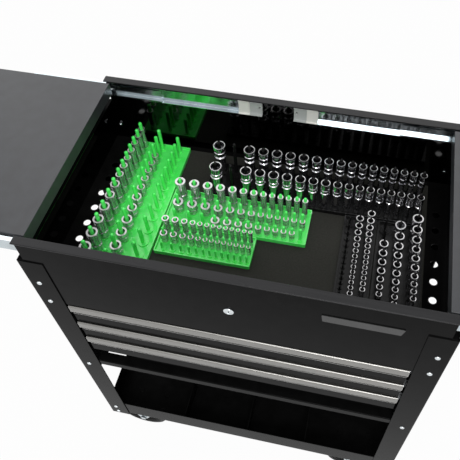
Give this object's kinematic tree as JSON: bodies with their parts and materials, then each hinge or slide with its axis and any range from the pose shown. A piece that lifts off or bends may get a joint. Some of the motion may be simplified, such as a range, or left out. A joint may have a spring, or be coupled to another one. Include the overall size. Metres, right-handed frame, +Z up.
{
  "type": "sliding top tool cart",
  "caption": "Tool cart with two sliding lids over a shallow compartment of socket racks, shallow drawers below it, and an open lower tray on casters.",
  "frame": {"origin": "on the floor, under the middle of the cart", "axes": "+X to the right along the lids' travel, -Y towards the front with the drawers, +Z up"},
  "size_m": [1.471, 0.4296, 1],
  "materials": {
    "black_paint": "gloss",
    "lid_paint": "satin",
    "rim_paint": "satin",
    "pull_aluminium": "satin",
    "zinc_steel": "satin",
    "bolt_chrome": "polished",
    "badge_chrome": "satin",
    "socket_chrome": "polished",
    "mat_foam": "matte",
    "green_plastic": "gloss",
    "black_plastic": "gloss",
    "wheel_rubber": "matte"
  },
  "bodies": {
    "cart": {"front_posts": "black_paint", "rear_posts": "black_paint", "front_panel": "black_paint", "rear_panel": "black_paint", "side_panels": "black_paint", "compartment_floor": "black_paint", "cabinet_sides": "black_paint", "cabinet_rear_panel": "black_paint", "front_bottom_rail": "black_paint", "lower_tray": "black_paint", "tray_dividers": "black_paint", "rims": "rim_paint", "liner_mat": "mat_foam", "frame_bolts": "bolt_chrome", "caster_bolts": "black_paint", "lock_bezel": "bolt_chrome", "badge_plate": "badge_chrome", "lid_slide_channels": "zinc_steel", "drawer_slide_channels": "zinc_steel", "caster_plates": "zinc_steel", "rigid_caster_frames": "zinc_steel"},
    "left_lid": {"left_lid": "lid_paint", "left_lid_slide_inners": "zinc_steel"},
    "left_lid_middles": {"left_lid_slide_middles": "zinc_steel"},
    "right_lid": {"right_lid": "lid_paint", "right_lid_slide_inners": "zinc_steel"},
    "right_lid_middles": {"right_lid_slide_middles": "zinc_steel"},
    "drawer_1": {"drawer_1_box": "black_paint", "drawer_1_pull": "pull_aluminium", "drawer_1_slide_inners": "zinc_steel"},
    "drawer_1_middles": {"drawer_1_slide_middles": "zinc_steel"},
    "drawer_2": {"drawer_2_box": "black_paint", "drawer_2_pull": "pull_aluminium", "drawer_2_slide_inners": "zinc_steel"},
    "drawer_2_middles": {"drawer_2_slide_middles": "zinc_steel"},
    "drawer_3": {"drawer_3_box": "black_paint", "drawer_3_pull": "pull_aluminium", "drawer_3_slide_inners": "zinc_steel"},
    "drawer_3_middles": {"drawer_3_slide_middles": "zinc_steel"},
    "lock": {"lock_cylinder": "bolt_chrome"},
    "front_left_fork": {"front_left_caster_fork": "zinc_steel"},
    "front_left_pedal": {"front_left_brake_pedal": "zinc_steel"},
    "front_left_wheel": {"front_left_wheel": "wheel_rubber"},
    "front_right_wheel": {"front_right_wheel": "wheel_rubber"},
    "rear_left_fork": {"rear_left_caster_fork": "zinc_steel"},
    "rear_left_pedal": {"rear_left_brake_pedal": "zinc_steel"},
    "rear_left_wheel": {"rear_left_wheel": "wheel_rubber"},
    "rear_right_wheel": {"rear_right_wheel": "wheel_rubber"},
    "green_rack_left": {"green_rack_left": "green_plastic", "green_rack_left_sockets": "socket_chrome"},
    "green_rack_middle": {"green_rack_middle": "green_plastic", "green_rack_middle_sockets": "socket_chrome"},
    "green_rack_front": {"green_rack_front": "green_plastic", "green_rack_front_sockets": "socket_chrome"},
    "black_rack_rear": {"black_rack_rear": "black_plastic", "black_rack_rear_sockets": "socket_chrome"},
    "black_rack_inner": {"black_rack_inner": "black_plastic", "black_rack_inner_sockets": "socket_chrome"},
    "black_rack_outer": {"black_rack_outer": "black_plastic", "black_rack_outer_sockets": "socket_chrome"}
  },
  "joints": [
    {"name": "left_lid_slide", "type": "slide", "parent": "cart", "child": "left_lid", "axis": [-1, 0, 0], "range_m": [-0.3525, 0]},
    {"name": "left_middles_slide", "type": "slide", "parent": "cart", "child": "left_lid_middles", "axis": [-1, 0, 0], "range_m": [-0.1675, 0]},
    {"name": "right_lid_slide", "type": "slide", "parent": "cart", "child": "right_lid", "axis": [1, 0, 0], "range_m": [-0.3525, 0]},
    {"name": "right_middles_slide", "type": "slide", "parent": "cart", "child": "right_lid_middles", "axis": [1, 0, 0], "range_m": [-0.1675, 0]},
    {"name": "drawer_1_slide", "type": "slide", "parent": "cart", "child": "drawer_1", "axis": [0, -1, 0], "range_m": [0, 0.34]},
    {"name": "drawer_1_middles_slide", "type": "slide", "parent": "cart", "child": "drawer_1_middles", "axis": [0, -1, 0], "range_m": [0, 0.17]},
    {"name": "drawer_2_slide", "type": "slide", "parent": "cart", "child": "drawer_2", "axis": [0, -1, 0], "range_m": [0, 0.34]},
    {"name": "drawer_2_middles_slide", "type": "slide", "parent": "cart", "child": "drawer_2_middles", "axis": [0, -1, 0], "range_m": [0, 0.17]},
    {"name": "drawer_3_slide", "type": "slide", "parent": "cart", "child": "drawer_3", "axis": [0, -1, 0], "range_m": [0, 0.34]},
    {"name": "drawer_3_middles_slide", "type": "slide", "parent": "cart", "child": "drawer_3_middles", "axis": [0, -1, 0], "range_m": [0, 0.17]},
    {"name": "lock_turn", "type": "hinge", "parent": "cart", "child": "lock", "pos_m": [0, -0.209, 0.892], "axis": [0, 1, 0], "range_deg": [0, 90]},
    {"name": "front_left_swivel", "type": "hinge", "parent": "cart", "child": "front_left_fork", "pos_m": [-0.281, -0.164, 0.143], "axis": [0, 0, 1], "continuous": true},
    {"name": "front_left_wheel_turn", "type": "hinge", "parent": "front_left_fork", "child": "front_left_wheel", "pos_m": [-0.315, -0.164, 0.0635], "axis": [0, 1, 0], "continuous": true},
    {"name": "front_left_brake_turn", "type": "hinge", "parent": "front_left_fork", "child": "front_left_pedal", "pos_m": [-0.345, -0.164, 0.13], "axis": [0, 1, 0], "range_deg": [-12, 0]},
    {"name": "front_right_wheel_turn", "type": "hinge", "parent": "cart", "child": "front_right_wheel", "pos_m": [0.281, -0.164, 0.0635], "axis": [0, 1, 0], "continuous": true},
    {"name": "rear_left_swivel", "type": "hinge", "parent": "cart", "child": "rear_left_fork", "pos_m": [-0.281, 0.164, 0.143], "axis": [0, 0, 1], "continuous": true},
    {"name": "rear_left_wheel_turn", "type": "hinge", "parent": "rear_left_fork", "child": "rear_left_wheel", "pos_m": [-0.315, 0.164, 0.0635], "axis": [0, 1, 0], "continuous": true},
    {"name": "rear_left_brake_turn", "type": "hinge", "parent": "rear_left_fork", "child": "rear_left_pedal", "pos_m": [-0.345, 0.164, 0.13], "axis": [0, 1, 0], "range_deg": [-12, 0]},
    {"name": "rear_right_wheel_turn", "type": "hinge", "parent": "cart", "child": "rear_right_wheel", "pos_m": [0.281, 0.164, 0.0635], "axis": [0, 1, 0], "continuous": true},
    {"name": "green_rack_left_lift", "type": "slide", "parent": "cart", "child": "green_rack_left", "axis": [0, 0, 1], "range_m": [0, 0.15]},
    {"name": "green_rack_middle_lift", "type": "slide", "parent": "cart", "child": "green_rack_middle", "axis": [0, 0, 1], "range_m": [0, 0.15]},
    {"name": "green_rack_front_lift", "type": "slide", "parent": "cart", "child": "green_rack_front", "axis": [0, 0, 1], "range_m": [0, 0.15]},
    {"name": "black_rack_rear_lift", "type": "slide", "parent": "cart", "child": "black_rack_rear", "axis": [0, 0, 1], "range_m": [0, 0.15]},
    {"name": "black_rack_inner_lift", "type": "slide", "parent": "cart", "child": "black_rack_inner", "axis": [0, 0, 1], "range_m": [0, 0.15]},
    {"name": "black_rack_outer_lift", "type": "slide", "parent": "cart", "child": "black_rack_outer", "axis": [0, 0, 1], "range_m": [0, 0.15]}
  ],
  "couplings": [
    {"joint": "left_middles_slide", "follows": "left_lid_slide", "ratio": 0.475},
    {"joint": "right_middles_slide", "follows": "right_lid_slide", "ratio": 0.475},
    {"joint": "drawer_1_middles_slide", "follows": "drawer_1_slide", "ratio": 0.5},
    {"joint": "drawer_2_middles_slide", "follows": "drawer_2_slide", "ratio": 0.5},
    {"joint": "drawer_3_middles_slide", "follows": "drawer_3_slide", "ratio": 0.5}
  ]
}
